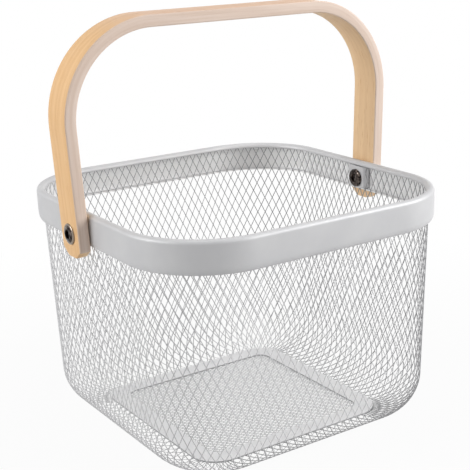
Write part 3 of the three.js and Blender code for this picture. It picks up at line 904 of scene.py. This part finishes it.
def blend_colour(factor, first, second):
    """Mix of two colours or sockets by a factor socket."""
    mix = add_node(factor.id_data, "ShaderNodeMix")
    mix.data_type = "RGBA"
    link(factor, mix.inputs["Factor"])
    for name, value in (("A", first), ("B", second)):
        if isinstance(value, tuple):
            mix.inputs[name].default_value = value
        else:
            link(value, mix.inputs[name])
    return mix.outputs["Result"]


print("mid grey on a screen is", round(srgb(128, 128, 128)[0], 3), "in light")

# %% Satin coating
COAT_METALLIC = 0.2
COAT_SPECULAR = 0.3
COAT_GLOSS = 0.44, 0.54
TONE_SCALE = 38
GLOSS_SCALE = 210
PEEL_SCALE = 1300
PEEL_DEPTH = 0.2 * MM


def new_material(name):
    """New material, its node tree and its Principled shader."""
    material = bpy.data.materials.new(name)
    material.use_nodes = True
    return material, material.node_tree, material.node_tree.nodes["Principled BSDF"]


def coated_finish(name, greys, peel=0.0, mark=None, other=None):
    """Satin coating: two close greys by broad mottling, gloss by finer mottling, and a fine peel as bump.
    Where the mesh carries a mark, the coating has the other grey: a paler one of painted light on the
    band's inside, and darker ones of painted shade on the mesh's inner side and on the frame's edges."""
    light, dark = greys
    material, tree, shader = new_material(name)
    set_inputs(shader, Metallic=COAT_METALLIC, Specular_IOR_Level=COAT_SPECULAR)
    where = add_node(tree, "ShaderNodeTexCoord").outputs["Object"]
    tone = add_mottling(where, TONE_SCALE)
    gloss = add_mottling(where, GLOSS_SCALE, *COAT_GLOSS)
    colour = blend_colour(tone.outputs["Value"], dark, light)
    if mark:
        colour = blend_colour(read_values(tree, mark).outputs["Fac"], colour, other)
    if peel:
        skin = add_mottling(where, PEEL_SCALE)
        bump = add_node(tree, "ShaderNodeBump", Strength=peel, Distance=PEEL_DEPTH)
        link(skin.outputs["Height"], bump.inputs["Height"])
        link(bump.outputs["Normal"], shader.inputs["Normal"])
    link(colour, shader.inputs["Base Color"])
    link(gloss.outputs["Value"], shader.inputs["Roughness"])
    return material


print("coating with a gloss of", COAT_GLOSS)

# %% [markdown]
# ## Greys of the pieces
#
# All steel pieces have the same coating, and four pairs of close greys bring out what the light does to it:
# the frame's paler grey is painted light, and the fine floor mesh's darker one is painted shade. The band's
# inside carries a paler grey of painted light, and the mesh's inner side and the frame's edges carry darker
# greys of painted shade, read from the marks on the meshes.

# %% Coated pieces
PEEL = 0.05
SILVER = srgb(208, 208, 209), srgb(202, 202, 204)
# Paler pair for the frame: painted light.
PALE_SILVER = srgb(236, 236, 237), srgb(229, 229, 231)
MESH_SILVER = srgb(214, 214, 215), srgb(206, 206, 208)
# Darker pair for the floor mesh: painted shade.
FLOOR_SILVER = srgb(199, 199, 200), srgb(190, 190, 192)
# Paler grey on the band's inside: painted light.
BAND_INSIDE_PAINTED_LIGHT = srgb(246, 246, 246)
# Darker grey on the frame's edges: painted shade.
FRAME_EDGE_PAINTED_SHADE = srgb(172, 172, 174)
# Darker grey on the mesh's inner side: painted shade.
MESH_INNER_PAINTED_SHADE = srgb(150, 150, 152)


def dress(material, *pieces):
    """Puts one material on each of the pieces."""
    for piece in pieces:
        piece.data.materials.clear()
        piece.data.materials.append(material)
    print(material.name, "on", ", ".join(piece.name for piece in pieces))


dress(coated_finish("coated_sheet", SILVER, PEEL), *plates)
dress(coated_finish("coated_band", SILVER, PEEL, "inside", BAND_INSIDE_PAINTED_LIGHT), rim_band)
# The frame's edges take the darker grey of painted shade.
dress(coated_finish("coated_frame", PALE_SILVER, PEEL, "edge_painted_shade", FRAME_EDGE_PAINTED_SHADE), floor_frame)
dress(coated_finish("coated_mesh", MESH_SILVER, mark="inside", other=MESH_INNER_PAINTED_SHADE), wall_mesh)
dress(coated_finish("coated_floor", FLOOR_SILVER), floor_mesh)

# %% [markdown]
# ## Wood
#
# The strip is pale, close-grained wood under a thin clear finish. Its broad faces are warm and show long
# fine streaks and short flecks; the inner one is paler, and the crossbar is less yellow than the legs. The
# narrow faces are cut across the growth and look paler and pinker. Textures laid out in space would run
# straight through the bends, so they read the straight place that was stored on the mesh.

# %% Patterns along the strip
wood, wood_tree, wood_shader = new_material("handle_birch")
on_strip = read_values(wood_tree, "straight_strip").outputs["Vector"]
axes = add_node(wood_tree, "ShaderNodeSeparateXYZ")
link(on_strip, axes.inputs["Vector"])


def add_math(operation, *sockets, clamp=False):
    """Result of a math node on one or two sockets."""
    node = add_node(sockets[0].id_data, "ShaderNodeMath")
    node.operation = operation
    node.use_clamp = clamp
    for source, target in zip(sockets, node.inputs):
        link(source, target)
    return node.outputs[0]


def streaks(scale_along, scale_across, detail, low, high):
    """Noise drawn out along the strip: what lies between low and high of it is spread from 0 to 1."""
    mapped = add_node(wood_tree, "ShaderNodeMapping", Scale=(scale_along, scale_across, scale_across))
    noise = add_node(wood_tree, "ShaderNodeTexNoise", Scale=1.0, Detail=detail, Roughness=0.6)
    level = add_node(wood_tree, "ShaderNodeMapRange", From_Min=low, From_Max=high)
    link(on_strip, mapped.inputs["Vector"])
    link(mapped.outputs["Vector"], noise.inputs["Vector"])
    link(noise.outputs["Fac"], level.inputs["Value"])
    return level.outputs["Result"]


def share_between(distance, start, end):
    """0 to 1 as a distance socket goes from start to end."""
    share = add_node(wood_tree, "ShaderNodeMapRange", From_Min=start, From_Max=end)
    link(distance, share.inputs["Value"])
    return share.outputs["Result"]


print("wood reads", on_strip.node.attribute_name)

# %% Colours of the wood
GRAIN_LINES = 9, 260, 3, 0.35, 0.65
EDGE_LINES = 12, 420, 3, 0.35, 0.65
FLECKS = 70, 1500, 2, 0.62, 0.72
FACE_BLEND = 1.0 * MM
BAR_BLEND = 0.35 * BEND_LENGTH
EDGE_BLEND = 0.2 * MM
LEG_TONES = srgb(231, 186, 134), srgb(242, 200, 149)
BAR_TONES = srgb(216, 180, 152), srgb(228, 192, 164)
INNER_TONES = srgb(240, 203, 159), srgb(249, 214, 171)
NARROW_TONES = srgb(222, 199, 182), srgb(234, 214, 200)
FLECK_TONE = srgb(218, 170, 118)

along = add_math("ABSOLUTE", axes.outputs["X"])
across = add_math("ABSOLUTE", axes.outputs["Y"])
is_leg = share_between(along, BEND_X, BEND_X + BAR_BLEND)
is_inner = share_between(axes.outputs["Z"], FACE_BLEND, -FACE_BLEND)
is_narrow = share_between(across, HANDLE_W / 2 - EDGE_EASE, HANDLE_W / 2 - EDGE_BLEND)
grain_lines = streaks(*GRAIN_LINES)
legs, crossbar, inner = [blend_colour(grain_lines, *tones) for tones in (LEG_TONES, BAR_TONES, INNER_TONES)]
outer = blend_colour(is_leg, crossbar, legs)
broad = blend_colour(is_inner, outer, inner)
flecked = blend_colour(streaks(*FLECKS), broad, FLECK_TONE)
narrow = blend_colour(streaks(*EDGE_LINES), *NARROW_TONES)
grown = blend_colour(is_narrow, flecked, narrow)
link(grown, wood_shader.inputs["Base Color"])
print("crossbar tone reaches", round(BEND_X + BAR_BLEND, 3), "m along the strip")

# %% Clear finish and fibres
WOOD_SPECULAR = 0.25
LACQUER, LACQUER_ROUGHNESS = 0.05, 0.3
WOOD_GLOSS = 0.46, 0.6
SHEEN_SCALE = 160
FIBRES = 40, 1800, 2, 0.3, 0.7
FIBRE_BUMP, FIBRE_DEPTH = 0.12, 0.2 * MM
set_inputs(wood_shader, Specular_IOR_Level=WOOD_SPECULAR)
set_inputs(wood_shader, Coat_Weight=LACQUER, Coat_Roughness=LACQUER_ROUGHNESS)
sheen = add_mottling(on_strip, SHEEN_SCALE, *WOOD_GLOSS)
fibre = add_node(wood_tree, "ShaderNodeBump", Strength=FIBRE_BUMP, Distance=FIBRE_DEPTH)
link(sheen.outputs["Value"], wood_shader.inputs["Roughness"])
link(streaks(*FIBRES), fibre.inputs["Height"])
link(fibre.outputs["Normal"], wood_shader.inputs["Normal"])
dress(wood, handle)

# %% [markdown]
# ## Dark plating
#
# Nuts and screws are polished and plated in a dark tone: a smooth metal that mirrors dark and pale patches
# of its surroundings. A plain mirror would only show the white studio, so a mottling of the tone stands for
# the patches, and one of the gloss keeps the reflections from looking like glass. The collar of the nut is
# a paler ring.

# %% Dark plating
DARK_PATCH, PALE_PATCH = srgb(26, 20, 19), srgb(118, 108, 102)
COLLAR_TONE = srgb(140, 128, 116)
PATCH_SCALE, PATCH_SPREAD = 380, (-0.4, 1.0)
PLATING_GLOSS_SCALE, PLATING_GLOSS = 900, (0.06, 0.14)

plating, tree, shader = new_material("dark_plating")
set_inputs(shader, Metallic=1.0)
where = add_node(tree, "ShaderNodeTexCoord").outputs["Object"]
patches = add_mottling(where, PATCH_SCALE, *PATCH_SPREAD)
gloss = add_mottling(where, PLATING_GLOSS_SCALE, *PLATING_GLOSS)
colour = blend_colour(patches.outputs["Value"], DARK_PATCH, PALE_PATCH)
colour = blend_colour(read_values(tree, "collar").outputs["Fac"], colour, COLLAR_TONE)
link(colour, shader.inputs["Base Color"])
link(gloss.outputs["Value"], shader.inputs["Roughness"])
dress(plating, *hardware)

# %% [markdown]
# ## Floor and light
#
# The basket stands in a white studio. The floor is a wide pale disc. Near the basket it shows a small share
# of its shadow, and further out it turns into plain white, so no horizon shows. One soft lamp stands on
# either side and one hangs overhead, which leaves the corner that faces the camera a little darker than the
# sides.

# %% Floor disc
FLOOR_R = 3.0
FLOOR_Z = -0.2 * MM
DISC_RINGS = 0.2, 0.6, 1.4, FLOOR_R
DISC_STEPS = 96
disc_r = np.array(DISC_RINGS)[:, None]
disc_angle = np.arange(DISC_STEPS) / DISC_STEPS * 2 * np.pi
disc_z = np.full((len(disc_r), DISC_STEPS), FLOOR_Z)
disc = np.stack([disc_r * np.cos(disc_angle), disc_r * np.sin(disc_angle), disc_z], -1)
disc_faces = grid_faces(len(disc_r), DISC_STEPS, False, True).tolist() + [list(range(DISC_STEPS))]
floor_data = bpy.data.meshes.new("studio_floor")
floor_data.from_pydata(disc.reshape(-1, 3).tolist(), [], disc_faces)
floor_data.update()
floor = bpy.data.objects.new("studio_floor", floor_data)
bpy.context.scene.collection.objects.link(floor)
print("floor", FLOOR_R, "m round")

# %% White floor with a shadow
WHITE = 1.0, 1.0, 1.0, 1.0
FLOOR_GREY = 0.6, 0.6, 0.6, 1.0
SHADOW_NEAR, SHADOW_FAR = 0.16, 0.5
PLAIN_NEAR = 0.94


def seen_ray(tree):
    """1 for camera, glossy and transmission rays, 0 for the rest: the three switches added and clamped."""
    path = add_node(tree, "ShaderNodeLightPath").outputs
    two = add_math("ADD", path["Is Camera Ray"], path["Is Glossy Ray"])
    return add_math("ADD", two, path["Is Transmission Ray"], clamp=True)


def mix_shaders(factor, first, second, target):
    """Shader mix of two nodes by a factor socket, linked to the surface of an output node."""
    mixed = add_node(factor.id_data, "ShaderNodeMixShader")
    link(factor, mixed.inputs["Fac"])
    link(first.outputs[0], mixed.inputs[1])
    link(second.outputs[0], mixed.inputs[2])
    link(mixed.outputs[0], target.inputs["Surface"])


white, tree, _ = new_material("studio_white")
tree.nodes.clear()
surface = add_node(tree, "ShaderNodeBsdfDiffuse", Color=FLOOR_GREY)
plain = add_node(tree, "ShaderNodeEmission", Color=WHITE, Strength=1.0)
target = add_node(tree, "ShaderNodeOutputMaterial")
where = add_node(tree, "ShaderNodeTexCoord").outputs["Object"]
reach = add_node(tree, "ShaderNodeVectorMath")
reach.operation = "LENGTH"
fade = add_node(
    tree, "ShaderNodeMapRange", From_Min=SHADOW_NEAR, From_Max=SHADOW_FAR, To_Min=PLAIN_NEAR, To_Max=1.0
)
link(where, reach.inputs[0])
link(reach.outputs["Value"], fade.inputs["Value"])
share = add_math("MULTIPLY", fade.outputs["Result"], seen_ray(tree))
mix_shaders(share, surface, plain, target)
dress(white, floor)

# %% World
AMBIENT = 0.22
world = bpy.data.worlds.new("studio_world")
bpy.context.scene.world = world
world.use_nodes = True
tree = world.node_tree
tree.nodes.clear()
seen = add_node(tree, "ShaderNodeBackground", Color=WHITE, Strength=1.0)
lit = add_node(tree, "ShaderNodeBackground", Color=WHITE, Strength=AMBIENT)
mix_shaders(seen_ray(tree), lit, seen, add_node(tree, "ShaderNodeOutputWorld"))
bpy.context.scene.view_settings.view_transform = "Standard"
print("light from all round:", AMBIENT)

# %% Lamps
AIM = np.array([0.0, 0.0, 0.12])
OVERHEAD = 0.95


def soft_lamp(name, azimuth, distance, height, size, power):
    """Square area lamp on a circle round the basket, turned to face the middle of the basket. Its sides
    are level, or along x for a lamp overhead."""
    light = bpy.data.lights.new(name, "AREA")
    light.shape = "SQUARE"
    light.size = size
    light.energy = power
    lamp = bpy.data.objects.new(name, light)
    a = np.radians(azimuth)
    place = np.array([distance * np.sin(a), -distance * np.cos(a), height])
    away = (place - AIM) / np.linalg.norm(place - AIM)
    side = np.cross([0.0, 1.0, 0.0] if abs(away[2]) > OVERHEAD else [0.0, 0.0, 1.0], away)
    side = side / np.linalg.norm(side)
    put_object(lamp, side, np.cross(away, side), away, place)
    return lamp


lamps = [
    soft_lamp("softbox_left", azimuth=-105, distance=1.8, height=0.95, size=1.1, power=22.0),
    soft_lamp("softbox_right", azimuth=50, distance=1.8, height=0.95, size=1.1, power=33.0),
    soft_lamp("softbox_top", azimuth=0, distance=0.05, height=1.5, size=1.3, power=4.5),
]
print("lamps:", ", ".join(lamp.name for lamp in lamps))
